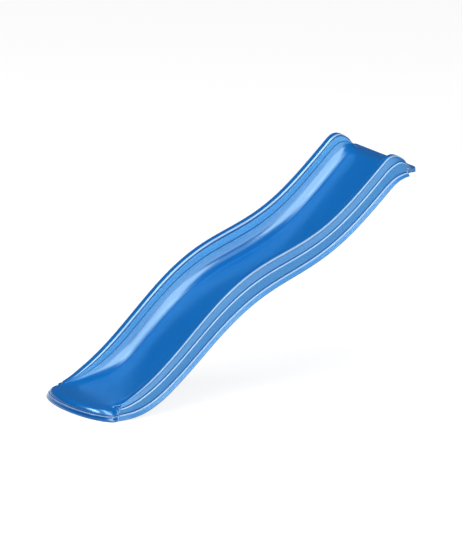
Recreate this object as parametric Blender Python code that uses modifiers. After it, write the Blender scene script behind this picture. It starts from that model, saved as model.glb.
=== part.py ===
"""Wave slide for a play tower: one moulded chute, held by three capped screws in its hooked lip."""

import math

import bmesh
import bpy

# Overall sizes, in metres
LIP_UNDERSIDE = 0.905
LIP_DEPTH = 0.022
RUN = 1.578
SHELL = 0.0032
FIT_GAP = 0.0003

# Rail line: a straight fall with one wave along it
RAIL_START = 0.0569
RAIL_OVER_LIP = 0.1339
WAVE_HEIGHT = 0.0443
WAVE_LENGTH = 0.9629
WAVE_MIDDLE = 0.8947

# Top end: the rail falls steeply to the lip, and the band below it more gently
RAIL_FALL = 1.08
RAIL_FALL_END = RUN - 0.029
RAIL_PEAK_BLEND = 0.100
LIP_BLEND = 0.006
BAND_FALL = 0.61
BAND_FALL_END = RUN - 0.027
BAND_FALL_BLEND = 0.012

# Bed of the chute
WALL_HEIGHT = 0.112
NOSE_TOP = 0.048
RUNOUT_SLOPE = 0.06
RUNOUT_BLEND = 0.100
BED_TOP_BLEND = 0.045
RAIL_END = 0.036
RAIL_END_LENGTH = 0.024

# Half section of the bed, wall and rail, from the middle out: distance out, share of the wall height
DECK_SECTION = (
    (0.0000, 0.000),
    (0.0700, 0.000),
    (0.1400, 0.000),
    (0.1680, 0.050),
    (0.1890, 0.196),
    (0.1990, 0.400),
    (0.2020, 0.490),
    (0.2040, 0.505),
    (0.2078, 0.925),
    (0.2093, 0.965),
    (0.2138, 1.018),
    (0.2358, 1.018),
    (0.2403, 0.965),
    (0.2408, 0.932),
)
RAIL_EDGE = DECK_SECTION[-1][0]
STEP_OUT = 0.2428
STEP_SHARE = 0.924

# Skirt lines, down from the rail: depth, its swell along the wave, and how it closes up at the foot
BAND_DEPTH = 0.0429
TOE_DEPTH = 0.1118
DEPTH_SWELL = 0.063
SWELL_MIDDLE = 0.5526
BAND_CLOSE = 0.131
TOE_CLOSE = 0.093
FOOT_CURVE = 1.68
FOOT_POWER = 2.25
TOE_HEIGHT_FOOT = 0.0215
TOE_HEIGHT_MIDDLE = 0.0185
TOE_HEIGHT_TOP = 0.0110
TOE_THINS = (0.02, 0.12)
TOE_SHRINKS = (RUN - 0.200, RUN - 0.070)
BAND_CAP = 0.058
BAND_CAP_BLEND = 0.044
TOE_CAP = -0.005
TOE_CAP_BLEND = 0.043
BAND_UNDER_RAIL = 0.003

# Distances out of the skirt's edges
BAND_TOP_IN = 0.2530
BAND_TOP_OUT = 0.2613
LEDGE_IN = 0.2640
LEDGE_OUT = 0.2723
TOE_NECK = 0.2750
TOE_OUT = 0.2890
LEDGE_SLOPE = 0.001
NECK_DROP = 0.006
RIM_HEIGHT = 0.004
FOOT_FLARE = 0.70
FLARE_GROWS = (0.03, 0.11)

# Nose: half ellipses in plan, one for each row down its face, as distances out and down from the deck
NOSE_CENTRE = 0.014
NOSE_REACH = 0.062
NOSE_HALF_WIDTH = 0.222
NOSE_WARP_END = 0.114
NOSE_ROWS_FRONT = (
    (0.0000, 0.0000),
    (0.0080, 0.0013),
    (0.0150, 0.0055),
    (0.0200, 0.0140),
    (0.0240, 0.0255),
    (0.0295, 0.0260),
    (0.0310, 0.0310),
    (0.0350, 0.0430),
    (0.0350, 0.0480),
)
NOSE_ROWS_CORNER = (
    (0.0000, 0.0000),
    (0.0080, 0.0010),
    (0.0165, 0.0045),
    (0.0285, 0.0135),
    (0.0385, 0.0255),
    (0.0415, 0.0260),
    (0.0430, 0.0310),
    (0.0530, 0.0430),
    (0.0530, 0.0480),
)
CREASE = 0.034
CREASE_LENGTH = 0.006
NOSE_LEAN = 0.008
CREASE_LEAN = 0.025
LEAN_END = 0.150

# Lip: a flat deck whose edge turns down to rest on the tower
LIP_HALF_WIDTH = 0.2450
LIP_CORNER = 0.012
LIP_ROWS = (
    (0.0000, 0.0000),
    (0.0022, 0.0004),
    (0.0044, 0.0020),
    (0.0056, 0.0048),
    (0.0062, 0.0090),
    (0.0064, 0.0120),
    (0.0066, 0.0150),
    (0.0070, 0.0180),
    (0.0070, 0.0220),
)
LIP_EDGE = LIP_ROWS[-1][0]
BAND_CLOSES = (RUN - 0.043, RUN - 0.022)
SKIRT_END = RUN - 0.064
SKIRT_END_LENGTH = 0.006

# Stations along the chute
FOOT_STATIONS = (NOSE_CENTRE, CREASE, CREASE + CREASE_LENGTH, 0.046, 0.053, 0.063, 0.080, 0.105)
MIDDLE_STEPS = 21
TOP_OFFSETS = (0.180, 0.155, 0.135, 0.118, 0.101, 0.084, 0.064, 0.058, 0.043, 0.032, 0.022)
CORNER_STEPS = 4

# Screw wells in the lip
WELL_IN_FROM_TIP = 0.028
WELL_SPACING = 0.170
WELL_CLEARANCE = 0.001
BOSS_WALL = 0.003
WELL_FLOOR = 0.0035
BOSS_SINK = 0.0015
CUT_MARGIN = 0.010
ROUND_SEGMENTS = 24

# Screws, washers and caps
SHANK_DIAMETER = 0.008
SHANK_BELOW = 0.045
POINT_LENGTH = 0.007
POINT_DIAMETER = 0.001
HEAD_FLATS = 0.013
HEAD_HEIGHT = 0.0053
WASHER_DIAMETER = 0.022
WASHER_HEIGHT = 0.0016
CAP_TOP = 0.0018
CAP_WALL = 0.0016
CAP_ROUND = 0.0008
HEX_SIDES = 6

# Derived sizes
LIP_TOP = LIP_UNDERSIDE + LIP_DEPTH
FALL = (LIP_TOP + RAIL_OVER_LIP - RAIL_START) / RUN
DECK_END = RUN - LIP_EDGE
FRONT = NOSE_REACH + NOSE_ROWS_FRONT[-1][0] - NOSE_CENTRE
X_CENTRE = (RUN - FRONT) / 2
WELL_SIDES = {"left": -WELL_SPACING, "centre": 0.0, "right": WELL_SPACING}
SEAT = LIP_UNDERSIDE + WELL_FLOOR
WASHER_BOTTOM = SEAT + FIT_GAP
HEAD_BOTTOM = WASHER_BOTTOM + WASHER_HEIGHT + FIT_GAP
HOLE_DIAMETER = SHANK_DIAMETER + 2 * FIT_GAP
WELL_DIAMETER = WASHER_DIAMETER + 2 * WELL_CLEARANCE
BOSS_DIAMETER = WELL_DIAMETER + 2 * BOSS_WALL


def clear_scene():
    for obj in list(bpy.data.objects):
        bpy.data.objects.remove(obj, do_unlink=True)


def new_collection(name):
    collection = bpy.data.collections.new(name)
    bpy.context.scene.collection.children.link(collection)
    return collection


def smooth_max(a, b, width):
    """The larger of two heights, with a blend this wide where they meet."""
    overlap = max(width - abs(a - b), 0.0) / width
    return max(a, b) + overlap * overlap * width / 4


def smooth_min(a, b, width):
    return -smooth_max(-a, -b, width)


def ramp(x, start, end):
    share = min(max((x - start) / (end - start), 0.0), 1.0)
    return share * share * (3 - 2 * share)


def mix(a, b, share):
    return a + (b - a) * share


def wave_height(x):
    swing = math.sin(2 * math.pi * (x - WAVE_MIDDLE) / WAVE_LENGTH)
    return RAIL_START + FALL * x - WAVE_HEIGHT * swing


def bed_height(x):
    runout = NOSE_TOP + RUNOUT_SLOPE * (x - NOSE_CENTRE)
    lower = smooth_max(runout, wave_height(x) - WALL_HEIGHT, RUNOUT_BLEND)
    return smooth_min(lower, LIP_TOP, BED_TOP_BLEND)


def rail_height(x):
    fall = smooth_max(LIP_TOP + RAIL_FALL * (RAIL_FALL_END - x), LIP_TOP, LIP_BLEND)
    crest = smooth_min(wave_height(x), fall, RAIL_PEAK_BLEND)
    bed = bed_height(x)
    foot = ramp(x, RAIL_END, RAIL_END + RAIL_END_LENGTH)
    return mix(bed, max(crest, bed), foot)


def depth_below(x, depth, close):
    """Depth of a skirt line under the rail line, which swells over the wave and closes at the foot."""
    swell = 1 + DEPTH_SWELL * math.cos(2 * math.pi * (x - SWELL_MIDDLE) / WAVE_LENGTH)
    return depth * swell * (1 - math.exp(-max(x, 0.0) / close))


def toe_height(x):
    lower = mix(TOE_HEIGHT_FOOT, TOE_HEIGHT_MIDDLE, ramp(x, *TOE_THINS))
    return mix(lower, TOE_HEIGHT_TOP, ramp(x, *TOE_SHRINKS))


def skirt_bottom(x):
    line = wave_height(x) - depth_below(x, TOE_DEPTH, TOE_CLOSE)
    foot = FOOT_CURVE * max(x, 0.0) ** FOOT_POWER
    return smooth_min(min(line, foot), LIP_UNDERSIDE + TOE_CAP, TOE_CAP_BLEND)


def band_height(x):
    line = wave_height(x) - depth_below(x, BAND_DEPTH, BAND_CLOSE)
    capped = smooth_min(line, LIP_UNDERSIDE + BAND_CAP, BAND_CAP_BLEND)
    fallen = smooth_min(capped, LIP_TOP + BAND_FALL * (BAND_FALL_END - x), BAND_FALL_BLEND)
    band = smooth_max(fallen, NOSE_TOP, RIM_HEIGHT)
    return min(band, max(rail_height(x) - BAND_UNDER_RAIL, NOSE_TOP))


def edge_out(x):
    """Half width of the deck's edge: the rail's foot, wider at the nose and at the lip."""
    foot = mix(NOSE_HALF_WIDTH, RAIL_EDGE, ramp(x, CREASE, RAIL_END + RAIL_END_LENGTH))
    return mix(foot, LIP_HALF_WIDTH, ramp(x, *BAND_CLOSES))


def corner_angle(x):
    """Angle round the lip's corner, from its side to its tip."""
    into = (x - (DECK_END - LIP_CORNER)) / LIP_CORNER
    return math.asin(min(max(into, 0.0), 1.0))


def deck_point(x, out, share):
    warp = 1 - ramp(x, NOSE_CENTRE, NOSE_WARP_END)
    edge = edge_out(x)
    scaled = out * edge / RAIL_EDGE
    round_share = scaled / edge
    forward = NOSE_REACH * warp * math.sqrt(max(1 - round_share**2, 0.0))
    corner = LIP_CORNER * (1 - math.cos(corner_angle(x)))
    y = scaled * (edge - corner) / edge
    height = rail_height(x) - bed_height(x)
    return (x - forward, y, bed_height(x) + share * height)


def nose_rows(theta):
    """Rows down the nose's face at this angle round it, as places (x, y, z)."""
    share = math.sin(theta) ** 4
    rows = []
    for front, corner in zip(NOSE_ROWS_FRONT, NOSE_ROWS_CORNER):
        down = mix(front[1], corner[1], share)
        lean = NOSE_LEAN * share**4 * down / NOSE_TOP
        x = NOSE_CENTRE - (NOSE_REACH + front[0]) * math.cos(theta) - lean
        y = (NOSE_HALF_WIDTH + corner[0]) * math.sin(theta)
        rows.append((x, y, NOSE_TOP - down))
    return rows


def side_rows(x):
    """Rows down the side skirt at this station, as distance out and height."""
    flare = mix(FOOT_FLARE, 1.0, ramp(x, *FLARE_GROWS))
    rail = rail_height(x)
    bed = bed_height(x)
    band = band_height(x)
    bottom = skirt_bottom(x)
    ledge = bottom + toe_height(x)
    lines = (
        (STEP_OUT, mix(bed, rail, STEP_SHARE)),
        (BAND_TOP_IN, band + LEDGE_SLOPE),
        (BAND_TOP_OUT, band),
        (LEDGE_IN, ledge + LEDGE_SLOPE),
        (LEDGE_OUT, ledge),
        (TOE_NECK, ledge - NECK_DROP),
        (TOE_OUT, bottom + RIM_HEIGHT),
        (TOE_OUT, bottom),
    )
    edge = (edge_out(x), mix(bed, rail, DECK_SECTION[-1][1]))
    return [edge] + [(mix(RAIL_EDGE, out, flare), z) for out, z in lines]


def corner_rows():
    return [(NOSE_HALF_WIDTH + out, NOSE_TOP - down) for out, down in NOSE_ROWS_CORNER]


def lip_rows(x):
    top = rail_height(x)
    drop = (top - LIP_UNDERSIDE) / LIP_DEPTH
    half_width = mix(BAND_TOP_OUT - LIP_EDGE, LIP_HALF_WIDTH, ramp(x, SKIRT_END, BAND_CLOSES[1]))
    return [(half_width + out, top - down * drop) for out, down in LIP_ROWS]


def blend_rows(first, second, share):
    return [(mix(a[0], b[0], share), mix(a[1], b[1], share)) for a, b in zip(first, second)]


def skirt_rows(x):
    """Rows down the skirt as places (x, y, z), from the nose's corner to the lip's corner."""
    rows = blend_rows(corner_rows(), side_rows(x), ramp(x, CREASE, CREASE + CREASE_LENGTH))
    lip = lip_rows(x)
    upper = blend_rows(rows, lip, ramp(x, *BAND_CLOSES))
    lower = blend_rows(rows, lip, ramp(x, SKIRT_END, SKIRT_END + SKIRT_END_LENGTH))
    half = len(rows) // 2
    rows = upper[:half] + lower[half:]
    angle = corner_angle(x)
    lean = mix(NOSE_LEAN, CREASE_LEAN, ramp(x, NOSE_CENTRE, CREASE)) * (1 - ramp(x, CREASE, LEAN_END))
    corner_y = edge_out(x) - LIP_CORNER * (1 - math.cos(angle))
    top = rows[0][1]
    places = []
    for out, z in rows:
        offset = out - rows[0][0]
        fallen = (top - z) / (top - rows[-1][1])
        x_place = x + offset * math.sin(angle) - lean * fallen
        places.append((x_place, corner_y + offset * math.cos(angle), z))
    return places


def stations():
    first = FOOT_STATIONS[-1]
    last = RUN - TOP_OFFSETS[0]
    middle = [mix(first, last, step / MIDDLE_STEPS) for step in range(1, MIDDLE_STEPS)]
    top = [RUN - offset for offset in TOP_OFFSETS]
    start = DECK_END - LIP_CORNER
    turns = [math.pi / 2 * step / CORNER_STEPS for step in range(CORNER_STEPS + 1)]
    corner = [start + LIP_CORNER * math.sin(turn) for turn in turns]
    return list(FOOT_STATIONS) + middle + top + corner


def add_strip(mesh, rows_of_verts):
    """Faces between neighbouring rows of the same length."""
    for first, second in zip(rows_of_verts, rows_of_verts[1:]):
        for index in range(len(first) - 1):
            mesh.faces.new((first[index], second[index], second[index + 1], first[index + 1]))


def deck_rows(mesh, places):
    return [[mesh.verts.new(deck_point(x, out, share)) for out, share in DECK_SECTION] for x in places]


def hang_row(mesh, top_vert, rows):
    """A row of vertices down the skirt that starts at one vertex of the deck's edge."""
    return [top_vert] + [mesh.verts.new(place) for place in rows[1:]]


def lip_tip_rows(vert):
    x, y, top = vert.co
    return [(x + out, y, top - down) for out, down in LIP_ROWS]


def chute_half(mesh):
    """The open outer surface of one half of the chute, from its middle plane to the skirt's rim."""
    places = stations()
    deck = deck_rows(mesh, places)
    add_strip(mesh, deck)
    hanging = []
    for vert in deck[0][:-1]:
        theta = math.asin(min(vert.co.y / NOSE_HALF_WIDTH, 1.0))
        hanging.append(hang_row(mesh, vert, nose_rows(theta)))
    for x, row in zip(places, deck):
        hanging.append(hang_row(mesh, row[-1], skirt_rows(x)))
    for vert in reversed(deck[-1][:-1]):
        hanging.append(hang_row(mesh, vert, lip_tip_rows(vert)))
    add_strip(mesh, hanging)
    bmesh.ops.recalc_face_normals(mesh, faces=mesh.faces)
    if deck[0][0].link_faces[0].normal.z < 0:
        bmesh.ops.reverse_faces(mesh, faces=mesh.faces)


def object_from(mesh, name, collection):
    data = bpy.data.meshes.new(name)
    mesh.to_mesh(data)
    mesh.free()
    obj = bpy.data.objects.new(name, data)
    collection.objects.link(obj)
    return obj


def place(obj, x, y, z):
    obj.location = (x - X_CENTRE, y, z)


def smooth_shading(obj, degrees):
    for polygon in obj.data.polygons:
        polygon.use_smooth = True
    obj.data.set_sharp_from_angle(angle=math.radians(degrees))


def cylinder(name, collection, diameter, bottom, top, segments):
    """A cylinder that stands on the object's own origin plane between two heights."""
    mesh = bmesh.new()
    bmesh.ops.create_cone(
        mesh,
        cap_ends=True,
        segments=segments,
        radius1=diameter / 2,
        radius2=diameter / 2,
        depth=top - bottom,
    )
    bmesh.ops.translate(mesh, verts=mesh.verts, vec=(0, 0, (top + bottom) / 2))
    return object_from(mesh, name, collection)


def hide_cutter(obj):
    obj.hide_render = True
    obj.display_type = "WIRE"


def boolean(obj, other, operation):
    modifier = obj.modifiers.new(other.name, "BOOLEAN")
    modifier.solver = "EXACT"
    modifier.operation = operation
    modifier.object = other


def lathe(name, collection, profile):
    """A body turned from a profile of (radius, height) points that runs down its outer side."""
    mesh = bmesh.new()
    verts = [mesh.verts.new((radius, 0, z)) for radius, z in profile]
    for first, second in zip(verts, verts[1:]):
        mesh.edges.new((first, second))
    obj = object_from(mesh, name, collection)
    screw = obj.modifiers.new("turn", "SCREW")
    screw.axis = "Z"
    screw.steps = ROUND_SEGMENTS
    screw.render_steps = ROUND_SEGMENTS
    screw.use_merge_vertices = True
    screw.merge_threshold = 0.0001
    screw.use_smooth_shade = True
    return obj


def material(name, colour, roughness, metallic):
    made = bpy.data.materials.new(name)
    made.use_nodes = True
    shader = made.node_tree.nodes["Principled BSDF"]
    shader.inputs["Base Color"].default_value = (*colour, 1.0)
    shader.inputs["Roughness"].default_value = roughness
    shader.inputs["Metallic"].default_value = metallic
    return made


def blue_plastic():
    return material("blue_polyethylene", (0.0, 0.145, 0.52), 0.34, 0.0)


def cap_plastic():
    return material("blue_cap_plastic", (0.0, 0.12, 0.46), 0.30, 0.0)


def zinc_steel():
    return material("zinc_plated_steel", (0.62, 0.63, 0.65), 0.32, 1.0)


def washer_steel():
    return material("washer_steel", (0.55, 0.56, 0.58), 0.38, 1.0)


def cut_wells(chute, cutters):
    """A boss under the lip at each fixing, with a well for the screw head and a hole for its shank."""
    top = LIP_TOP + CUT_MARGIN
    bottom = LIP_UNDERSIDE - CUT_MARGIN
    steps = (
        ("boss", BOSS_DIAMETER, LIP_UNDERSIDE, LIP_TOP - BOSS_SINK, "UNION"),
        ("well", WELL_DIAMETER, SEAT, top, "DIFFERENCE"),
        ("hole", HOLE_DIAMETER, bottom, top, "DIFFERENCE"),
    )
    for side, y in WELL_SIDES.items():
        for kind, diameter, low, high, operation in steps:
            cutter = cylinder(f"{kind}_{side}", cutters, diameter, low, high, ROUND_SEGMENTS)
            place(cutter, RUN - WELL_IN_FROM_TIP, y, 0)
            hide_cutter(cutter)
            boolean(chute, cutter, operation)


def make_chute(parts, cutters, surface):
    mesh = bmesh.new()
    chute_half(mesh)
    chute = object_from(mesh, "chute", parts)
    place(chute, 0, 0, 0)
    smooth_shading(chute, 30)
    mirror = chute.modifiers.new("other_half", "MIRROR")
    mirror.use_axis = (False, True, False)
    mirror.merge_threshold = 0.00001
    shell = chute.modifiers.new("shell", "SOLIDIFY")
    shell.thickness = SHELL
    shell.offset = -1
    shell.use_even_offset = True
    cut_wells(chute, cutters)
    chute.data.materials.append(surface)


def make_screw(side, y, parts, cutters, surface):
    shank = SHANK_DIAMETER / 2
    tip = LIP_UNDERSIDE - SHANK_BELOW
    head_middle = HEAD_BOTTOM + HEAD_HEIGHT / 2
    profile = (
        (0, head_middle),
        (shank, head_middle),
        (shank, tip + POINT_LENGTH),
        (POINT_DIAMETER / 2, tip),
        (0, tip),
    )
    screw = lathe(f"lip_screw_{side}", parts, profile)
    across = HEAD_FLATS / math.cos(math.pi / HEX_SIDES)
    head_top = HEAD_BOTTOM + HEAD_HEIGHT
    head = cylinder(f"head_{side}", cutters, across, HEAD_BOTTOM, head_top, HEX_SIDES)
    for obj in (screw, head):
        place(obj, RUN - WELL_IN_FROM_TIP, y, 0)
    hide_cutter(head)
    boolean(screw, head, "UNION")
    screw.data.materials.append(surface)


def make_washer(side, y, parts, cutters, surface):
    top = WASHER_BOTTOM + WASHER_HEIGHT
    washer = cylinder(f"lip_washer_{side}", parts, WASHER_DIAMETER, WASHER_BOTTOM, top, ROUND_SEGMENTS)
    low = WASHER_BOTTOM - CUT_MARGIN
    hole = cylinder(f"washer_hole_{side}", cutters, HOLE_DIAMETER, low, top + CUT_MARGIN, ROUND_SEGMENTS)
    for obj in (washer, hole):
        place(obj, RUN - WELL_IN_FROM_TIP, y, 0)
    hide_cutter(hole)
    boolean(washer, hole, "DIFFERENCE")
    smooth_shading(washer, 30)
    washer.data.materials.append(surface)


def make_cap(side, y, parts, surface):
    outer = WELL_DIAMETER / 2 - FIT_GAP
    inner = outer - CAP_WALL
    profile = (
        (0, LIP_TOP),
        (outer - CAP_ROUND, LIP_TOP),
        (outer, LIP_TOP - CAP_ROUND),
        (outer, HEAD_BOTTOM),
        (inner, HEAD_BOTTOM),
        (inner, LIP_TOP - CAP_TOP),
        (0, LIP_TOP - CAP_TOP),
    )
    cap = lathe(f"lip_cap_{side}", parts, profile)
    place(cap, RUN - WELL_IN_FROM_TIP, y, 0)
    cap.data.materials.append(surface)


def build():
    clear_scene()
    parts = new_collection("wave_slide")
    cutters = new_collection("cutters")
    make_chute(parts, cutters, blue_plastic())
    steel = zinc_steel()
    washers = washer_steel()
    caps = cap_plastic()
    for side, y in WELL_SIDES.items():
        make_screw(side, y, parts, cutters, steel)
        make_washer(side, y, parts, cutters, washers)
        make_cap(side, y, parts, caps)


build()
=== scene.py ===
"""Looks of the wave slide: a fine moulded shell, threaded screws, washers and caps on the frame."""

import math

import bmesh
import bpy
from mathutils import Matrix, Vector


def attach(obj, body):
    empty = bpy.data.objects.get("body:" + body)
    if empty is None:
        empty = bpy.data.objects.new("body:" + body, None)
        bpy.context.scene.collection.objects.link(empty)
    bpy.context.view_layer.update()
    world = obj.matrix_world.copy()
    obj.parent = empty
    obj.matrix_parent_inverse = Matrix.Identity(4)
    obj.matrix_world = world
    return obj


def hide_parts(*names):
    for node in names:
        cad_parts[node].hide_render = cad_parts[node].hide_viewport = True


# Overall sizes, in metres
LIP_UNDERSIDE = 0.905
LIP_DEPTH = 0.022
RUN = 1.578
SHELL = 0.0032
FIT_GAP = 0.0003

# Rail line: a straight fall with one wave along it
RAIL_START = 0.0569
RAIL_OVER_LIP = 0.1339
WAVE_HEIGHT = 0.0443
WAVE_LENGTH = 0.9629
WAVE_MIDDLE = 0.8947

# Top end
RAIL_FALL = 1.08
RAIL_FALL_END = RUN - 0.029
RAIL_PEAK_BLEND = 0.100
LIP_BLEND = 0.006
BAND_FALL = 0.61
BAND_FALL_END = RUN - 0.027
BAND_FALL_BLEND = 0.012

# Bed of the chute
WALL_HEIGHT = 0.112
WALL_GROWS = (0.010, 0.050)
RAIL_LIFT = 0.003
RAIL_LIFT_FROM = 0.90
RAIL_LIFT_ENDS = (RUN - 0.340, RUN - 0.160)
NOSE_TOP = 0.048
RUNOUT_SLOPE = 0.06
RUNOUT_BLEND = 0.100
BED_TOP_BLEND = 0.020
RAIL_END = 0.036
RAIL_END_LENGTH = 0.024

# Half section of the bed, wall and rail: distance out, share of the wall height, how far each corner
# is rounded, the distance out where the wall fades away, and how frosted it is there, with its painted
# highlight (light lines on the rail's shoulders) and painted shade (dark lines in the wall's grooves and
# along the rail's outer edge)
DECK_SECTION = (
    (0.0000, 0.000, 0.0000, 0.0000, (0.0, 0.0, 0.0)),
    (0.0650, 0.000, 0.0300, 0.0650, (0.0, 0.0, 0.0)),
    (0.1409, 0.000, 0.0149, 0.1409, (0.0, 0.0, 0.0)),
    (0.1685, 0.102, 0.0149, 0.1685, (0.0, 0.0, 0.0)),
    (0.1896, 0.290, 0.0149, 0.1896, (0.0, 0.0, 0.0)),
    (0.2000, 0.500, 0.0100, 0.2000, (0.4, 0.0, 0.0)),
    (0.2010, 0.545, 0.0010, 0.2010, (0.9, 0.0, 0.0)),
    (0.2014, 0.556, 0.0008, 0.2020, (1.0, 0.0, 0.4)),
    (0.2044, 0.564, 0.0008, 0.2030, (0.6, 0.0, 1.0)),
    (0.2050, 0.600, 0.0008, 0.2040, (0.6, 0.0, 1.0)),
    (0.2042, 0.618, 0.0010, 0.2050, (1.0, 0.0, 0.3)),
    (0.2044, 0.640, 0.0010, 0.2055, (1.0, 0.0, 0.0)),
    (0.2060, 0.860, 0.0010, 0.2060, (1.0, 0.0, 0.0)),
    (0.2064, 0.880, 0.0010, 0.2065, (0.8, 0.0, 0.2)),
    (0.2094, 0.889, 0.0008, 0.2070, (0.4, 0.0, 1.0)),
    (0.2098, 0.918, 0.0008, 0.2080, (0.2, 0.0, 1.0)),
    (0.2080, 0.932, 0.0015, 0.2090, (0.0, 0.0, 0.3)),
    (0.2100, 0.985, 0.0030, 0.2115, (0.0, 0.8, 0.0)),
    (0.2150, 1.018, 0.0030, 0.2160, (0.0, 0.0, 0.0)),
    (0.2330, 1.018, 0.0040, 0.2330, (0.0, 0.0, 0.3)),
    (0.2425, 1.005, 0.0040, 0.2380, (0.0, 0.5, 0.2)),
    (0.2438, 0.985, 0.0015, 0.2390, (0.0, 1.0, 0.0)),
    (0.2438, 0.955, 0.0015, 0.2400, (0.0, 1.0, 0.0)),
    (0.2408, 0.932, 0.0000, 0.2408, (0.1, 0.0, 0.9)),
)
RAIL_EDGE = DECK_SECTION[-1][0]
STEP_OUT = 0.2428
STEP_SHARE = 0.924

# Skirt lines, down from the rail
BAND_DEPTH = 0.0429
TOE_DEPTH = 0.1118
DEPTH_SWELL = 0.063
SWELL_MIDDLE = 0.5526
BAND_CLOSE = 0.131
TOE_CLOSE = 0.093
FOOT_CURVE = 1.68
FOOT_POWER = 2.25
TOE_HEIGHT_FOOT = 0.0215
TOE_HEIGHT_MIDDLE = 0.0185
TOE_HEIGHT_TOP = 0.0110
TOE_THINS = (0.02, 0.12)
TOE_SHRINKS = (RUN - 0.200, RUN - 0.070)
BAND_CAP = 0.058
BAND_CAP_BLEND = 0.044
TOE_CAP = -0.005
TOE_CAP_BLEND = 0.043
BAND_UNDER_RAIL = 0.003

# Distances out of the skirt's edges
BAND_TOP_IN = 0.2530
BAND_TOP_OUT = 0.2613
LEDGE_IN = 0.2640
LEDGE_OUT = 0.2723
TOE_NECK = 0.2750
TOE_OUT = 0.2890
LEDGE_SLOPE = 0.001
GROOVE_HEIGHT = 0.0058
GROOVE_DEPTH = 0.0020
NECK_DROP = 0.006
RIM_HEIGHT = 0.004
FOOT_FLARE = 0.70
FLARE_GROWS = (0.03, 0.11)

# Nose: half ellipses in plan, one for each row down its face
NOSE_CENTRE = 0.014
NOSE_REACH = 0.062
NOSE_HALF_WIDTH = 0.222
NOSE_WARP_END = 0.114
NOSE_ROWS_FRONT = (
    (0.0000, 0.0000),
    (0.0080, 0.0013),
    (0.0150, 0.0055),
    (0.0192, 0.0120),
    (0.0215, 0.0170),
    (0.0232, 0.0215),
    (0.0222, 0.0257),
    (0.0295, 0.0262),
    (0.0308, 0.0320),
    (0.0350, 0.0430),
    (0.0350, 0.0480),
)
NOSE_ROWS_CORNER = (
    (0.0000, 0.0000),
    (0.0080, 0.0010),
    (0.0165, 0.0045),
    (0.0265, 0.0120),
    (0.0330, 0.0175),
    (0.0362, 0.0215),
    (0.0352, 0.0257),
    (0.0415, 0.0262),
    (0.0430, 0.0320),
    (0.0530, 0.0430),
    (0.0530, 0.0480),
)
CREASE = 0.034
CREASE_LENGTH = 0.006
NOSE_LEAN = 0.008
CREASE_LEAN = 0.025
LEAN_END = 0.150

# Lip: a flat deck whose edge turns down to rest on the tower
LIP_HALF_WIDTH = 0.2450
LIP_CORNER = 0.012
LIP_ROWS = (
    (0.0000, 0.0000),
    (0.0022, 0.0004),
    (0.0040, 0.0016),
    (0.0050, 0.0034),
    (0.0056, 0.0054),
    (0.0060, 0.0078),
    (0.0062, 0.0100),
    (0.0064, 0.0124),
    (0.0066, 0.0150),
    (0.0070, 0.0180),
    (0.0070, 0.0220),
)
LIP_EDGE = LIP_ROWS[-1][0]
BAND_CLOSES = (RUN - 0.043, RUN - 0.022)
SKIRT_END = RUN - 0.064
SKIRT_END_LENGTH = 0.006

# How far the skirt's corners are rounded, row by row from the rail's foot
SIDE_ROUNDS = (0.0, 0.0015, 0.0015, 0.0012, 0.0032, 0.0015, 0.0012, 0.0032, 0.0025, 0.0040, 0.0)
NOSE_ROUNDS = (0.0, 0.0100, 0.0100, 0.0100, 0.0100, 0.0016, 0.0012, 0.0026, 0.0025, 0.0040, 0.0)
ROUND_STEPS = 4
ROUND_SPAN = 0.4
SHORTEST_SIDE = 1e-6
WELD = 0.00001
TURNED_WELD = 1e-7

# Angles over which an edge is shown sharp, in degrees
SHELL_SHARP = 38
CAP_SHARP = 40
METAL_SHARP = 30

# Finish of the skirt's rows: frost at each row, then the spans of rows with painted shade (dark lines in
# the grooves) and painted highlight (light lines on the ledges' edges).
# A span is where it starts, is full, starts to fade and ends, in rows down from the rail's foot
SIDE_FROST = (0.1, 0.18, 0.20, 0.0, 0.30, 0.36, 0.0, 0.16, 0.16, 0.16, 0.12)
SIDE_SHADES = ((-1.0, 0.0, 0.3, 0.9), (1.80, 2.00, 3.10, 3.50), (4.80, 5.00, 6.10, 6.50))
SIDE_HIGHLIGHTS = ((3.15, 3.70, 4.06, 4.20), (6.15, 6.70, 7.06, 7.20))
NOSE_SHADES = ((4.80, 5.05, 6.10, 6.50), (7.80, 7.95, 8.05, 8.60))
NOSE_HIGHLIGHTS = ((6.15, 6.70, 7.06, 7.20),)
NOSE_HIGHLIGHT_SHARE = 0.6
FROST_START = (CREASE, CREASE + 0.03)
FINISH_ENDS = (RUN - 0.056, RUN - 0.042)
# Painted shade in the nose's crease and painted highlight on the ridge beside it: where each peaks along
# the chute and how far it reaches; then how strong both are
CREASE_SHADE = (CREASE + 0.003, 0.0035)
CREASE_HIGHLIGHT = (CREASE + 0.009, 0.0030)
CREASE_SHARE = 0.7

# Fine stations along the chute: from, to, step
STATION_RANGES = (
    (NOSE_CENTRE, CREASE, 0.004),
    (CREASE, 0.062, 0.0015),
    (0.062, 0.130, 0.004),
    (0.130, RUN - 0.190, 0.008),
    (RUN - 0.190, RUN - 0.066, 0.004),
    (RUN - 0.066, RUN - 0.019, 0.0015),
)
CORNER_STEPS = 10

# Fine steps across the section: over a wide gap between its points, and over a narrower one
WIDE_GAP = 0.010
WIDE_STEPS = 9
NARROW_GAP = 0.004
NARROW_STEPS = 2

# Screw wells in the lip
WELL_IN_FROM_TIP = 0.028
WELL_SPACING = 0.170
WELL_RADIUS = 0.012
WELL_FLOOR = 0.0035
WELL_EDGE = 0.0008
WELL_SEGMENTS = 48
WELL_MARGIN = 0.0035
WELL_FLOOR_ROUND = 0.0006
WELL_EDGE_CUT = 0.3
WELL_DECK_RINGS = 3
WELL_CUT_DEPTH = 0.004
WELL_BORDER_DEPTH = 0.006
WELL_BORDER_REACH = 2

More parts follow.
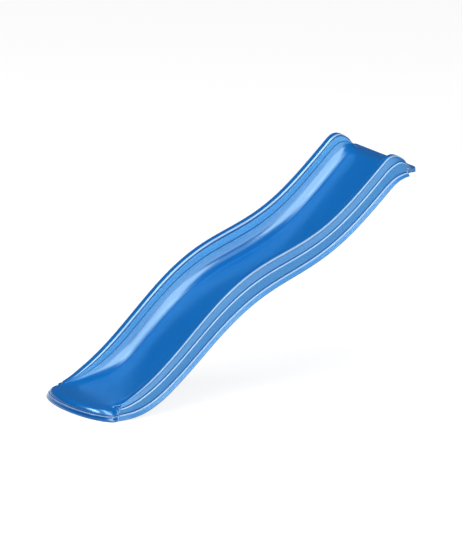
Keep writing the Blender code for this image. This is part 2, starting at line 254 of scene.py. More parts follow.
# Screws, washers and caps
SHANK_RADIUS = 0.004
SHANK_BELOW = 0.045
HEAD_FLATS = 0.013
HEAD_HEIGHT = 0.0053
WASHER_RADIUS = 0.011
WASHER_HEIGHT = 0.0016
CAP_TOP = 0.0018
CAP_WALL = 0.0016
CAP_DISH = ((0, 0.0003), (0.0045, 0.00022), (0.0088, 0.0))
CAP_ROUND = 0.0008
CAP_ROUND_CUT = 0.00025
BROKEN_EDGE = 0.0003
ROUND_SEGMENTS = 64
THREAD_PITCH = 0.0032
THREAD_DEPTH = 0.0011
THREAD_SEGMENTS = 28
THREAD_ROW = 0.0003
THREAD_RIDGE = 4.2
PLAIN_BELOW = 0.006
POINT_LENGTH = 0.009
POINT_SHARE = 0.12
POINT_RADIUS = 0.0003
SHANK_IN_HEAD = 0.001
HEAD_SEGMENTS = 72
HEAD_TOP_SHARE = 0.84
HEAD_EDGE = 0.0008
HEAD_CORNER_DROP = 0.55

# Derived sizes
LIP_TOP = LIP_UNDERSIDE + LIP_DEPTH
FALL = (LIP_TOP + RAIL_OVER_LIP - RAIL_START) / RUN
DECK_END = RUN - LIP_EDGE
FRONT = NOSE_REACH + NOSE_ROWS_FRONT[-1][0] - NOSE_CENTRE
X_CENTRE = (RUN - FRONT) / 2
SEAT = LIP_UNDERSIDE + WELL_FLOOR
WASHER_BOTTOM = SEAT + FIT_GAP
HEAD_BOTTOM = WASHER_BOTTOM + WASHER_HEIGHT + FIT_GAP
HOLE_RADIUS = SHANK_RADIUS + FIT_GAP
WELLS = {"left": -WELL_SPACING, "centre": 0.0, "right": WELL_SPACING}

# Blue plastic of the shell: pairs of colours between which a noise runs, then single colours for the
# painted shade, the painted highlight and the scratches
DEEP_BLUES = ((0.0, 0.122, 0.430), (0.0, 0.146, 0.500))
PALE_BLUES = ((0.018, 0.285, 0.740), (0.180, 0.580, 0.980))
SHADE_BLUE = (0.0, 0.066, 0.300)
PAINTED_HIGHLIGHT_BLUE = (0.50, 0.72, 0.98)
SCRATCH_BLUE = (0.10, 0.27, 0.62)
SHADE_SHARE = 0.90
PAINTED_HIGHLIGHT_SHARES = (0.78, 0.92)
SCRATCH_SHARE = 0.03
FULL_FROST = 0.16
SHELL_ROUGH = (0.20, 0.42)
CLOUD_ROUGH = (-0.02, 0.02)
SCRATCH_ROUGH = 0.02
PEEL_HEIGHT = 0.0008
PEEL_STRENGTH = 0.08
PEBBLE_HEIGHT = 0.0007
PEBBLE_STRENGTH = (0.02, 0.50)
SHELL_IOR = 1.62
SHELL_GLOSS = 1.0
SHELL_TINT = (0.62, 0.93, 1.0, 1.0)

# Noises of the shell: scale, detail, and for the scratches the stretch
CLOUD = (5.0, 3.0)
MOTTLE = (190.0, 3.0)
GRAIN = (420.0, 3.0)
PEBBLE = (900.0, 2.0)
SWIRL = (38.0, 2.0)
SCRATCHES = (1.0, 3.0, (3.0, 120.0, 3.0))
SCRATCH_TURN = 32
NOISE_SPAN = (0.3, 0.7)
MOTTLE_SPAN = (0.32, 0.68)
SCRATCH_SPAN = (0.64, 0.76)

# Plastic of the caps
CAP_BLUES = ((0.0, 0.100, 0.400), (0.0, 0.135, 0.480))
CAP_CLOUD = (160.0, 3.0)
CAP_GRAIN = (1400.0, 2.0)
CAP_ROUGH = (0.24, 0.36)
CAP_BUMP = (0.0002, 0.25)

# Zinc plated metals: light and dark colour, roughness
SCREW_ZINC = ((0.66, 0.67, 0.69), (0.50, 0.51, 0.54), 0.28)
WASHER_ZINC = ((0.58, 0.59, 0.61), (0.44, 0.45, 0.47), 0.36)
ZINC_GRAIN = (900.0, 4.0)
ZINC_SMOOTHER = 0.06
ZINC_ROUGHER = 0.10
ZINC_BUMP = (0.0002, 0.20)
SPANGLE_SCALE = 700.0
SPANGLE_SHARE = 0.25
SPANGLE_COLOUR = (0.50, 0.54, 0.60)

# Camera and light
CAMERA_AZIMUTH = -32.0
CAMERA_ELEVATION = 15.015
CAMERA_DISTANCE = 50.0
CAMERA_LENS = 746.0
CAMERA_AIM = (0.0145, -0.0119, 0.4954)
SENSOR = 36.0
CLIP_START = 1.0
CLIP_END = 200.0
FLOOR_GLOW = 0.84
FLOOR_COLOUR = (0.32, 0.32, 0.32)
FLOOR_SIZE = 60.0
FLOOR_DROP = 0.0005
LIGHT_AIM = (0.0, 0.0, 0.45)

# World light by the height of the direction: from, to, and the level at each
WORLD_FADE = (0.00, 0.12, 0.60, 0.06)

# Soft boxes: name, direction from the object, distance, width, height, radiance
SOFT_BOXES = (
    ("key", (-0.38, -0.29, 0.88), 9.0, 8.0, 5.0, 4.6),
    ("key_fade", (-0.45, 0.22, 0.86), 9.0, 3.6, 2.6, 2.8),
    ("crest", (0.06, -0.24, 0.97), 9.0, 3.0, 3.0, 1.0),
    ("front_high", (0.02, -0.86, 0.51), 10.0, 8.0, 7.5, 2.5),
    ("front_low", (0.40, -0.90, 0.16), 12.0, 8.0, 5.0, 0.4),
    ("left", (-0.85, -0.50, 0.18), 12.0, 10.0, 6.0, 0.6),
    ("back_left", (-0.74, 0.39, 0.53), 9.0, 3.0, 2.0, 10.0),
)


def smooth_max(a, b, width):
    """The larger of two heights, with a blend this wide where they meet."""
    overlap = max(width - abs(a - b), 0.0) / width
    return max(a, b) + overlap * overlap * width / 4


def smooth_min(a, b, width):
    return -smooth_max(-a, -b, width)


def ramp(x, start, end):
    share = min(max((x - start) / (end - start), 0.0), 1.0)
    return share * share * (3 - 2 * share)


def mix(a, b, share):
    return a + (b - a) * share


def wave_height(x):
    swing = math.sin(2 * math.pi * (x - WAVE_MIDDLE) / WAVE_LENGTH)
    return RAIL_START + FALL * x - WAVE_HEIGHT * swing


def bed_height(x):
    runout = NOSE_TOP + RUNOUT_SLOPE * (x - NOSE_CENTRE)
    lower = smooth_max(runout, wave_height(x) - WALL_HEIGHT, RUNOUT_BLEND)
    return smooth_min(lower, LIP_TOP, BED_TOP_BLEND)


def rail_height(x):
    fall = smooth_max(LIP_TOP + RAIL_FALL * (RAIL_FALL_END - x), LIP_TOP, LIP_BLEND)
    crest = smooth_min(wave_height(x), fall, RAIL_PEAK_BLEND)
    bed = bed_height(x)
    foot = ramp(x, RAIL_END, RAIL_END + RAIL_END_LENGTH)
    return mix(bed, max(crest, bed), foot)


def depth_below(x, depth, close):
    """Depth of a skirt line under the rail line, which swells over the wave and closes at the foot."""
    swell = 1 + DEPTH_SWELL * math.cos(2 * math.pi * (x - SWELL_MIDDLE) / WAVE_LENGTH)
    return depth * swell * (1 - math.exp(-max(x, 0.0) / close))


def toe_height(x):
    lower = mix(TOE_HEIGHT_FOOT, TOE_HEIGHT_MIDDLE, ramp(x, *TOE_THINS))
    return mix(lower, TOE_HEIGHT_TOP, ramp(x, *TOE_SHRINKS))


def skirt_bottom(x):
    line = wave_height(x) - depth_below(x, TOE_DEPTH, TOE_CLOSE)
    foot = FOOT_CURVE * max(x, 0.0) ** FOOT_POWER
    return smooth_min(min(line, foot), LIP_UNDERSIDE + TOE_CAP, TOE_CAP_BLEND)


def band_height(x):
    line = wave_height(x) - depth_below(x, BAND_DEPTH, BAND_CLOSE)
    capped = smooth_min(line, LIP_UNDERSIDE + BAND_CAP, BAND_CAP_BLEND)
    fallen = smooth_min(capped, LIP_TOP + BAND_FALL * (BAND_FALL_END - x), BAND_FALL_BLEND)
    band = smooth_max(fallen, NOSE_TOP, RIM_HEIGHT)
    return min(band, max(rail_height(x) - BAND_UNDER_RAIL, NOSE_TOP))


def edge_out(x):
    """Half width of the deck's edge: the rail's foot, wider at the nose and at the lip."""
    foot = mix(NOSE_HALF_WIDTH, RAIL_EDGE, ramp(x, CREASE, RAIL_END + RAIL_END_LENGTH))
    return mix(foot, LIP_HALF_WIDTH, ramp(x, *BAND_CLOSES))


def corner_angle(x):
    """Angle round the lip's corner, from its side to its tip."""
    into = (x - (DECK_END - LIP_CORNER)) / LIP_CORNER
    return math.asin(min(max(into, 0.0), 1.0))


def deck_point(x, out, share):
    warp = 1 - ramp(x, NOSE_CENTRE, NOSE_WARP_END)
    edge = edge_out(x)
    scaled = out * edge / RAIL_EDGE
    round_share = scaled / edge
    forward = NOSE_REACH * warp * math.sqrt(max(1 - round_share**2, 0.0))
    corner = LIP_CORNER * (1 - math.cos(corner_angle(x)))
    y = scaled * (edge - corner) / edge
    height = rail_height(x) - bed_height(x)
    grown = ramp(height, *WALL_GROWS) * (1 - ramp(x, *RAIL_LIFT_ENDS))
    lift = RAIL_LIFT * grown * ramp(share, RAIL_LIFT_FROM, 1.0)
    return Vector((x - forward, y, bed_height(x) + share * height + lift))


def nose_rows(theta):
    """Rows down the nose's face at this angle round it."""
    share = math.sin(theta) ** 4
    rows = []
    for front, corner in zip(NOSE_ROWS_FRONT, NOSE_ROWS_CORNER):
        down = mix(front[1], corner[1], share)
        lean = NOSE_LEAN * share**4 * down / NOSE_TOP
        x = NOSE_CENTRE - (NOSE_REACH + front[0]) * math.cos(theta) - lean
        y = (NOSE_HALF_WIDTH + corner[0]) * math.sin(theta)
        rows.append(Vector((x, y, NOSE_TOP - down)))
    return rows


def side_rows(x):
    """Rows down the side skirt at this station, as distance out and height."""
    flare = mix(FOOT_FLARE, 1.0, ramp(x, *FLARE_GROWS))
    rail = rail_height(x)
    bed = bed_height(x)
    band = band_height(x)
    bottom = skirt_bottom(x)
    ledge = bottom + toe_height(x)
    step = mix(bed, rail, STEP_SHARE)
    upper_groove = min(GROOVE_HEIGHT, max(step - band, 0.0) / 2)
    lower_groove = min(GROOVE_HEIGHT, max(band - ledge, 0.0) / 2)
    lines = (
        (STEP_OUT, step),
        (BAND_TOP_IN, band + max(upper_groove, LEDGE_SLOPE)),
        (BAND_TOP_IN - GROOVE_DEPTH, band + LEDGE_SLOPE),
        (BAND_TOP_OUT, band),
        (LEDGE_IN, ledge + max(lower_groove, LEDGE_SLOPE)),
        (LEDGE_IN - GROOVE_DEPTH, ledge + LEDGE_SLOPE),
        (LEDGE_OUT, ledge),
        (TOE_NECK, ledge - NECK_DROP),
        (TOE_OUT, bottom + RIM_HEIGHT),
        (TOE_OUT, bottom),
    )
    edge = (edge_out(x), mix(bed, rail, DECK_SECTION[-1][1]))
    return [edge] + [(mix(RAIL_EDGE, out, flare), z) for out, z in lines]


def corner_rows():
    return [(NOSE_HALF_WIDTH + out, NOSE_TOP - down) for out, down in NOSE_ROWS_CORNER]


def lip_rows(x):
    top = rail_height(x)
    drop = (top - LIP_UNDERSIDE) / LIP_DEPTH
    half_width = mix(BAND_TOP_OUT - LIP_EDGE, LIP_HALF_WIDTH, ramp(x, SKIRT_END, BAND_CLOSES[1]))
    return [(half_width + out, top - down * drop) for out, down in LIP_ROWS]


def blend_rows(first, second, share):
    return [(mix(a[0], b[0], share), mix(a[1], b[1], share)) for a, b in zip(first, second)]


def skirt_rows(x):
    """Rows down the skirt, from the nose's corner to the lip's corner."""
    rows = blend_rows(corner_rows(), side_rows(x), ramp(x, CREASE, CREASE + CREASE_LENGTH))
    lip = lip_rows(x)
    upper = blend_rows(rows, lip, ramp(x, *BAND_CLOSES))
    lower = blend_rows(rows, lip, ramp(x, SKIRT_END, SKIRT_END + SKIRT_END_LENGTH))
    half = len(rows) // 2
    rows = upper[:half] + lower[half:]
    angle = corner_angle(x)
    lean = mix(NOSE_LEAN, CREASE_LEAN, ramp(x, NOSE_CENTRE, CREASE)) * (1 - ramp(x, CREASE, LEAN_END))
    corner_y = edge_out(x) - LIP_CORNER * (1 - math.cos(angle))
    top = rows[0][1]
    places = []
    for out, z in rows:
        offset = out - rows[0][0]
        fallen = (top - z) / (top - rows[-1][1])
        x_place = x + offset * math.sin(angle) - lean * fallen
        places.append(Vector((x_place, corner_y + offset * math.cos(angle), z)))
    return places


def rounded(points, rounds):
    """A line with each inner corner turned into a short curve, as (place, row number) pairs."""
    line = [(points[0], 0.0)]
    for index in range(1, len(points) - 1):
        corner = points[index]
        back = points[index - 1] - corner
        ahead = points[index + 1] - corner
        start = corner + back * min(rounds[index] / max(back.length, SHORTEST_SIDE), 0.5)
        end = corner + ahead * min(rounds[index] / max(ahead.length, SHORTEST_SIDE), 0.5)
        for step in range(ROUND_STEPS + 1):
            share = step / ROUND_STEPS
            place = start * (1 - share) ** 2 + corner * 2 * share * (1 - share) + end * share**2
            line.append((place, index + ROUND_SPAN * (share - 0.5)))
    line.append((points[-1], len(points) - 1.0))
    return line


def between(row, values):
    """A value part of the way between two rows of a section."""
    low = min(int(row), len(values) - 2)
    return mix(values[low], values[low + 1], row - low)


def within(row, spans):
    """How far a row lies inside the nearest of these spans, each with a soft start and end."""
    shares = []
    for start, full, fading, end in spans:
        shares.append(min(ramp(row, start, full), 1 - ramp(row, fading, end)))
    return max(shares)


def bump_at(x, centre, reach):
    return max(1 - abs(x - centre) / reach, 0.0)


def section_line(outs):
    """The half section's rounded line, for these distances out."""
    shares = [entry[1] * WALL_HEIGHT for entry in DECK_SECTION]
    points = [Vector((out, height, 0.0)) for out, height in zip(outs, shares)]
    return rounded(points, [entry[2] for entry in DECK_SECTION])


def steps_across(gap):
    if gap > WIDE_GAP:
        return WIDE_STEPS
    return NARROW_STEPS if gap > NARROW_GAP else 1


def fine_section():
    """Fine points over the bed, wall and rail: both distances out, share of the wall, and frost, painted
    highlight and painted shade.
    """
    walled = section_line([entry[0] for entry in DECK_SECTION])
    flat = section_line([entry[3] for entry in DECK_SECTION])
    finishes = list(zip(*[entry[4] for entry in DECK_SECTION]))
    fine = []
    for index, (place, row) in enumerate(walled):
        following = walled[min(index + 1, len(walled) - 1)][0]
        gap = following.x - place.x
        steps = steps_across(gap)
        flat_place = flat[index][0]
        flat_next = flat[min(index + 1, len(flat) - 1)][0]
        finish = tuple(between(row, values) for values in finishes)
        for step in range(steps):
            there = place.lerp(following, step / steps)
            level = flat_place.lerp(flat_next, step / steps)
            fine.append((there.x, level.x, there.y / WALL_HEIGHT, finish))
    return fine


def fine_stations():
    places = []
    for start, end, step in STATION_RANGES:
        count = round((end - start) / step)
        places += [mix(start, end, index / count) for index in range(count)]
    start = DECK_END - LIP_CORNER
    turns = [math.pi / 2 * step / CORNER_STEPS for step in range(CORNER_STEPS + 1)]
    return places + [start + LIP_CORNER * math.sin(turn) for turn in turns]


def add_vert(mesh, layers, place, finish=(0.0, 0.0, 0.0)):
    vert = mesh.verts.new((place[0] - X_CENTRE, place[1], place[2]))
    for layer, value in zip(layers, finish):
        vert[layer] = value
    return vert


def hang_row(mesh, layers, top_vert, rows, rounds, finish_at):
    row = [top_vert]
    for place, number in rounded(rows, rounds)[1:]:
        row.append(add_vert(mesh, layers, place, finish_at(number)))
    return row


# Painted highlight and painted shade on the nose's rows; the nose has no frost
def nose_finish(row):
    painted_highlight = within(row, NOSE_HIGHLIGHTS) * NOSE_HIGHLIGHT_SHARE
    return (0.0, painted_highlight, within(row, NOSE_SHADES))


def plain_finish(row):
    return (0.0, 0.0, 0.0)


def side_finish(x):
    """How frosted the skirt is at this station, with its painted highlight and painted shade, as a
    function of the row.
    """
    side = ramp(x, CREASE, CREASE + CREASE_LENGTH)
    grown = ramp(x, *FROST_START)
    stays = 1 - ramp(x, *FINISH_ENDS)
    # Painted shade in the crease and painted highlight on the ridge beside it
    crease = bump_at(x, *CREASE_SHADE) * CREASE_SHARE
    ridge = bump_at(x, *CREASE_HIGHLIGHT) * CREASE_SHARE

    def finish(row):
        nose = nose_finish(row)
        painted_highlight = max(within(row, SIDE_HIGHLIGHTS) * grown, ridge)
        shade = max(within(row, SIDE_SHADES) * grown, crease)
        on_side = (between(row, SIDE_FROST) * grown, painted_highlight, shade)
        return tuple(mix(a, b, side) * stays for a, b in zip(nose, on_side))

    return finish


def add_strip(mesh, rows_of_verts):
    """Faces between neighbouring rows of the same length."""
    for first, second in zip(rows_of_verts, rows_of_verts[1:]):
        for index in range(len(first) - 1):
            mesh.faces.new((first[index], second[index], second[index + 1], first[index + 1]))


def chute_half(mesh, layers):
    section = fine_section()
    places = fine_stations()
    deck = []
    for x in places:
        wall = ramp(rail_height(x) - bed_height(x), *WALL_GROWS)
        row = []
        for out, level, share, finish in section:
            place = deck_point(x, mix(level, out, wall), share)
            row.append(add_vert(mesh, layers, place, [value * wall for value in finish]))
        deck.append(row)
    add_strip(mesh, deck)
    hanging = []
    for vert in deck[0][:-1]:
        theta = math.asin(min(vert.co.y / NOSE_HALF_WIDTH, 1.0))
        hanging.append(hang_row(mesh, layers, vert, nose_rows(theta), NOSE_ROUNDS, nose_finish))
    for x, row in zip(places, deck):
        share = ramp(x, CREASE, CREASE + CREASE_LENGTH)
        rounds = [mix(nose, side, share) for nose, side in zip(NOSE_ROUNDS, SIDE_ROUNDS)]
        hanging.append(hang_row(mesh, layers, row[-1], skirt_rows(x), rounds, side_finish(x)))
    for vert in reversed(deck[-1][:-1]):
        x, y, top = vert.co
        rows = [Vector((x + X_CENTRE + out, y, top - down)) for out, down in LIP_ROWS]
        hanging.append(hang_row(mesh, layers, vert, rows, SIDE_ROUNDS, plain_finish))
    add_strip(mesh, hanging)


def add_other_half(mesh):
    """The mirror image across the middle plane, welded along it."""
    copied = bmesh.ops.duplicate(mesh, geom=mesh.verts[:] + mesh.edges[:] + mesh.faces[:])["geom"]
    verts = [item for item in copied if isinstance(item, bmesh.types.BMVert)]
    faces = [item for item in copied if isinstance(item, bmesh.types.BMFace)]
    for vert in verts:
        vert.co.y = -vert.co.y
    bmesh.ops.reverse_faces(mesh, faces=faces)
    bmesh.ops.remove_doubles(mesh, verts=mesh.verts, dist=WELD)
    bmesh.ops.recalc_face_normals(mesh, faces=mesh.faces)


def deck_height(x, y, section):
    """Height of the deck at a place, by its fine section."""
    out = abs(y) * RAIL_EDGE / edge_out(x)
    for (_, near, low, _), (_, far, high, _) in zip(section, section[1:]):
        if near <= out < far:
            share = mix(low, high, (out - near) / (far - near))
            return mix(bed_height(x), rail_height(x), share)
    return bed_height(x)


def sink_well(mesh, layers, y, section):
    """A round well through the lip's top, with a floor that has the screw's hole."""
    centre = Vector((RUN - WELL_IN_FROM_TIP, y))
    reach = WELL_RADIUS + WELL_MARGIN
    faces = []
    for face in mesh.faces:
        middle = face.calc_center_median()
        near = Vector((middle.x + X_CENTRE, middle.y)) - centre
        if near.length < reach and middle.z > LIP_TOP - WELL_CUT_DEPTH:
            faces.append(face)
    bmesh.ops.delete(mesh, geom=faces, context="FACES")
    border = []
    for edge in mesh.edges:
        middle = (edge.verts[0].co + edge.verts[1].co) / 2
        near = Vector((middle.x + X_CENTRE, middle.y)) - centre
        close = near.length < WELL_BORDER_REACH * reach
        if edge.is_boundary and close and middle.z > LIP_TOP - WELL_BORDER_DEPTH:
            border.append(edge)
    rings = (
        (WELL_RADIUS + WELL_EDGE, 0.0),
        (WELL_RADIUS + WELL_EDGE_CUT * WELL_EDGE, -WELL_EDGE_CUT * WELL_EDGE),
        (WELL_RADIUS, -WELL_EDGE),
        (WELL_RADIUS, SEAT + WELL_FLOOR_ROUND - LIP_TOP),
        (WELL_RADIUS - WELL_FLOOR_ROUND, SEAT - LIP_TOP),
        (HOLE_RADIUS, SEAT - LIP_TOP),
    )
    loops = []
    for number, (radius, drop) in enumerate(rings):
        loop = []
        for segment in range(WELL_SEGMENTS):
            angle = 2 * math.pi * segment / WELL_SEGMENTS
            x = centre.x + radius * math.cos(angle)
            across = centre.y + radius * math.sin(angle)
            on_deck = number < WELL_DECK_RINGS
            top = deck_height(x, across, section) if on_deck else LIP_TOP
            loop.append(add_vert(mesh, layers, (x, across, top + drop)))
        loops.append(loop)
    closed = [loop + loop[:1] for loop in loops]
    add_strip(mesh, closed)
    first = loops[0]
    rim = [mesh.edges.get((a, b)) for a, b in zip(first, first[1:] + first[:1])]
    bmesh.ops.triangle_fill(mesh, edges=border + rim, use_beauty=True)


def object_from(mesh, name):
    data = bpy.data.meshes.new(name)
    mesh.to_mesh(data)
    mesh.free()
    obj = bpy.data.objects.new(name, data)
    bpy.context.scene.collection.objects.link(obj)
    return obj


def smooth_shading(obj, degrees):
    for polygon in obj.data.polygons:
        polygon.use_smooth = True
    obj.data.set_sharp_from_angle(angle=math.radians(degrees))


def make_chute(surface):
    mesh = bmesh.new()
    # Vertex layers: frost, painted highlight and painted shade
    layers = [mesh.verts.layers.float.new(name) for name in ("frost", "painted_highlight", "shade")]
    chute_half(mesh, layers)
    add_other_half(mesh)
    section = fine_section()
    for y in WELLS.values():
        sink_well(mesh, layers, y, section)
    bmesh.ops.recalc_face_normals(mesh, faces=mesh.faces)
    highest = max(mesh.faces, key=lambda face: face.calc_center_median().z)
    if highest.normal.z < 0:
        bmesh.ops.reverse_faces(mesh, faces=mesh.faces)
    chute = object_from(mesh, "chute_shell")
    smooth_shading(chute, SHELL_SHARP)
    shell = chute.modifiers.new("shell", "SOLIDIFY")
    shell.thickness = SHELL
    shell.offset = -1
    evaluated = chute.evaluated_get(bpy.context.evaluated_depsgraph_get())
    thick = bpy.data.meshes.new_from_object(evaluated)
    chute.modifiers.clear()
    chute.data = thick
    for vert in thick.vertices:
        vert.co.z = max(vert.co.z, 0.0)
    thick.materials.append(surface)
    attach(chute, "root")
    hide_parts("chute")


def turned(mesh, profile, segments):
    """Rings of a turned body, down its outer side; a point on the axis closes it."""
    rings = []
    for radius, z in profile:
        if radius == 0:
            rings.append([mesh.verts.new((0, 0, z))] * segments)
            continue
        turns = [2 * math.pi * step / segments for step in range(segments)]
        rings.append([mesh.verts.new((radius * math.cos(t), radius * math.sin(t), z)) for t in turns])
    for upper, lower in zip(rings, rings[1:]):
        for step in range(segments):
            ahead = (step + 1) % segments
            corners = []
            for vert in (upper[step], lower[step], lower[ahead], upper[ahead]):
                if vert not in corners:
                    corners.append(vert)
            if len(corners) > 2:
                mesh.faces.new(corners)
    return rings


def seat_at(obj, y):
    obj.location = (RUN - WELL_IN_FROM_TIP - X_CENTRE, y, 0)


def finish_piece(obj, y, surface, node, degrees):
    seat_at(obj, y)
    smooth_shading(obj, degrees)
    obj.data.materials.append(surface)
    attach(obj, "root")
    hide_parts(node)


def make_cap(side, y, surface):
    mesh = bmesh.new()
    outer = WELL_RADIUS - FIT_GAP
    inner = outer - CAP_WALL
    dish = [(radius, LIP_TOP - drop) for radius, drop in CAP_DISH]
    cup = [
        (outer - CAP_ROUND, LIP_TOP),
        (outer - CAP_ROUND_CUT, LIP_TOP - CAP_ROUND_CUT),
        (outer, LIP_TOP - CAP_ROUND),
        (outer, HEAD_BOTTOM + BROKEN_EDGE),
        (outer - BROKEN_EDGE, HEAD_BOTTOM),
        (inner + BROKEN_EDGE, HEAD_BOTTOM),
        (inner, HEAD_BOTTOM + BROKEN_EDGE),
        (inner, LIP_TOP - CAP_TOP),
        (0, LIP_TOP - CAP_TOP),
    ]
    turned(mesh, dish + cup, ROUND_SEGMENTS)
    bmesh.ops.recalc_face_normals(mesh, faces=mesh.faces)
    piece = object_from(mesh, f"cap_{side}")
    finish_piece(piece, y, surface, f"lip_cap_{side}", CAP_SHARP)


def make_washer(side, y, surface):
    mesh = bmesh.new()
    top = WASHER_BOTTOM + WASHER_HEIGHT
    edge = BROKEN_EDGE
    inner = HOLE_RADIUS
    profile = (
        (inner + edge, top),
        (WASHER_RADIUS - edge, top),
        (WASHER_RADIUS, top - edge),
        (WASHER_RADIUS, WASHER_BOTTOM + edge),
        (WASHER_RADIUS - edge, WASHER_BOTTOM),
        (inner + edge, WASHER_BOTTOM),
        (inner, WASHER_BOTTOM + edge),
        (inner, top - edge),
        (inner + edge, top),
    )
    turned(mesh, profile, ROUND_SEGMENTS)
    bmesh.ops.remove_doubles(mesh, verts=mesh.verts, dist=TURNED_WELD)
    bmesh.ops.recalc_face_normals(mesh, faces=mesh.faces)
    piece = object_from(mesh, f"washer_{side}")
    finish_piece(piece, y, surface, f"lip_washer_{side}", METAL_SHARP)


def add_head(mesh):
    """Hexagon head whose top corners are turned off, as one closed body."""
    across = HEAD_FLATS / 2
    top = HEAD_BOTTOM + HEAD_HEIGHT
    rings = []
    for share, height in ((HEAD_TOP_SHARE, top), (1.0, top - HEAD_EDGE), (1.0, HEAD_BOTTOM)):
        ring = []
        for step in range(HEAD_SEGMENTS):
            angle = 2 * math.pi * step / HEAD_SEGMENTS
            from_flat = (angle + math.pi / 6) % (math.pi / 3) - math.pi / 6
            hexagon = across / math.cos(from_flat)
            drop = 0.0
            if share == 1.0 and height > HEAD_BOTTOM:
                drop = (hexagon - across) * HEAD_CORNER_DROP
            radius = hexagon if share == 1.0 else across * share
            ring.append((radius * math.cos(angle), radius * math.sin(angle), height - drop))
        rings.append(ring)
    centre = mesh.verts.new((0, 0, top))
    verts = [[mesh.verts.new(place) for place in ring] for ring in rings]
    for step in range(HEAD_SEGMENTS):
        ahead = (step + 1) % HEAD_SEGMENTS
        mesh.faces.new((centre, verts[0][step], verts[0][ahead]))
        for upper, lower in zip(verts, verts[1:]):
            mesh.faces.new((upper[step], lower[step], lower[ahead], upper[ahead]))
    mesh.faces.new(list(reversed(verts[-1])))


def thread_radius(z, angle, tip, plain):
    """Radius of a wood screw's shank: plain near the head, then a steep ridge that thins to the point."""
    if z > plain:
        return SHANK_RADIUS
    phase = (z / THREAD_PITCH - angle / (2 * math.pi)) % 1.0
    ridge = max(1 - abs(phase - 0.5) * THREAD_RIDGE, 0.0)
    start = ramp(plain - z, 0.0, THREAD_PITCH)
    core = SHANK_RADIUS - THREAD_DEPTH * start
    taper = ramp(z, tip, tip + POINT_LENGTH)
    radius = (core + THREAD_DEPTH * start * ridge) * mix(POINT_SHARE, 1.0, taper)
    return max(radius, POINT_RADIUS)


def make_screw(side, y, surface):
    mesh = bmesh.new()
    add_head(mesh)
    tip = LIP_UNDERSIDE - SHANK_BELOW
    top = HEAD_BOTTOM + SHANK_IN_HEAD
    plain = LIP_UNDERSIDE - PLAIN_BELOW
    count = int((top - tip) / THREAD_ROW)
    rings = []
    for row in range(count + 1):
        z = mix(top, tip, row / count)
        ring = []
        for step in range(THREAD_SEGMENTS):
            angle = 2 * math.pi * step / THREAD_SEGMENTS
            radius = thread_radius(z, angle, tip, plain)
            ring.append(mesh.verts.new((radius * math.cos(angle), radius * math.sin(angle), z)))
        rings.append(ring)
    add_strip(mesh, [ring + ring[:1] for ring in rings])
    mesh.faces.new(rings[0])
    mesh.faces.new(rings[-1])
    bmesh.ops.recalc_face_normals(mesh, faces=mesh.faces)
    piece = object_from(mesh, f"screw_{side}")
    finish_piece(piece, y, surface, f"lip_screw_{side}", METAL_SHARP)


class Nodes:
    """Short way to build one material's node tree."""

    def __init__(self, name):
        self.material = bpy.data.materials.new(name)
        self.material.use_nodes = True
        self.tree = self.material.node_tree
        self.shader = self.tree.nodes["Principled BSDF"]
        self.place = self.add("ShaderNodeTexCoord").outputs["Object"]

    def add(self, kind, **settings):
        node = self.tree.nodes.new(kind)
        for key, value in settings.items():
            setattr(node, key, value)
        return node

    def link(self, source, target):
        self.tree.links.new(source, target)

    def noise(self, scale, detail=2.0, stretch=None):
        place = self.place
        if stretch:
            mapping = self.add("ShaderNodeMapping")
            mapping.inputs["Scale"].default_value = stretch
            mapping.inputs["Rotation"].default_value = (0, math.radians(SCRATCH_TURN), 0)
            self.link(place, mapping.inputs["Vector"])
            place = mapping.outputs["Vector"]
        node = self.add("ShaderNodeTexNoise")
        node.inputs["Scale"].default_value = scale
        node.inputs["Detail"].default_value = detail
        self.link(place, node.inputs["Vector"])
        return node.outputs["Fac"]

    def remap(self, source, low, high, to_low, to_high):
        node = self.add("ShaderNodeMapRange")
        values = (low, high, to_low, to_high)
        for key, value in zip(("From Min", "From Max", "To Min", "To Max"), values):
            node.inputs[key].default_value = value
        self.link(source, node.inputs["Value"])
        return node.outputs["Result"]

    def math(self, operation, first, second):
        node = self.add("ShaderNodeMath", operation=operation)
        for value, socket in zip((first, second), node.inputs):
            if isinstance(value, (int, float)):
                socket.default_value = value
            else:
                self.link(value, socket)
        return node.outputs["Value"]

    def blend(self, share, first, second):
        node = self.add("ShaderNodeMix", data_type="RGBA")
        self.link(share, node.inputs["Factor"])
        for value, socket in ((first, node.inputs[6]), (second, node.inputs[7])):
            if isinstance(value, tuple):
                socket.default_value = (*value, 1.0)
            else:
                self.link(value, socket)
        return node.outputs[2]

    def bump(self, height, distance, strength, normal=None):
        node = self.add("ShaderNodeBump")
        node.inputs["Distance"].default_value = distance
        if isinstance(strength, float):
            node.inputs["Strength"].default_value = strength
        else:
            self.link(strength, node.inputs["Strength"])
        self.link(height, node.inputs["Height"])
        if normal:
            self.link(normal, node.inputs["Normal"])
        return node.outputs["Normal"]


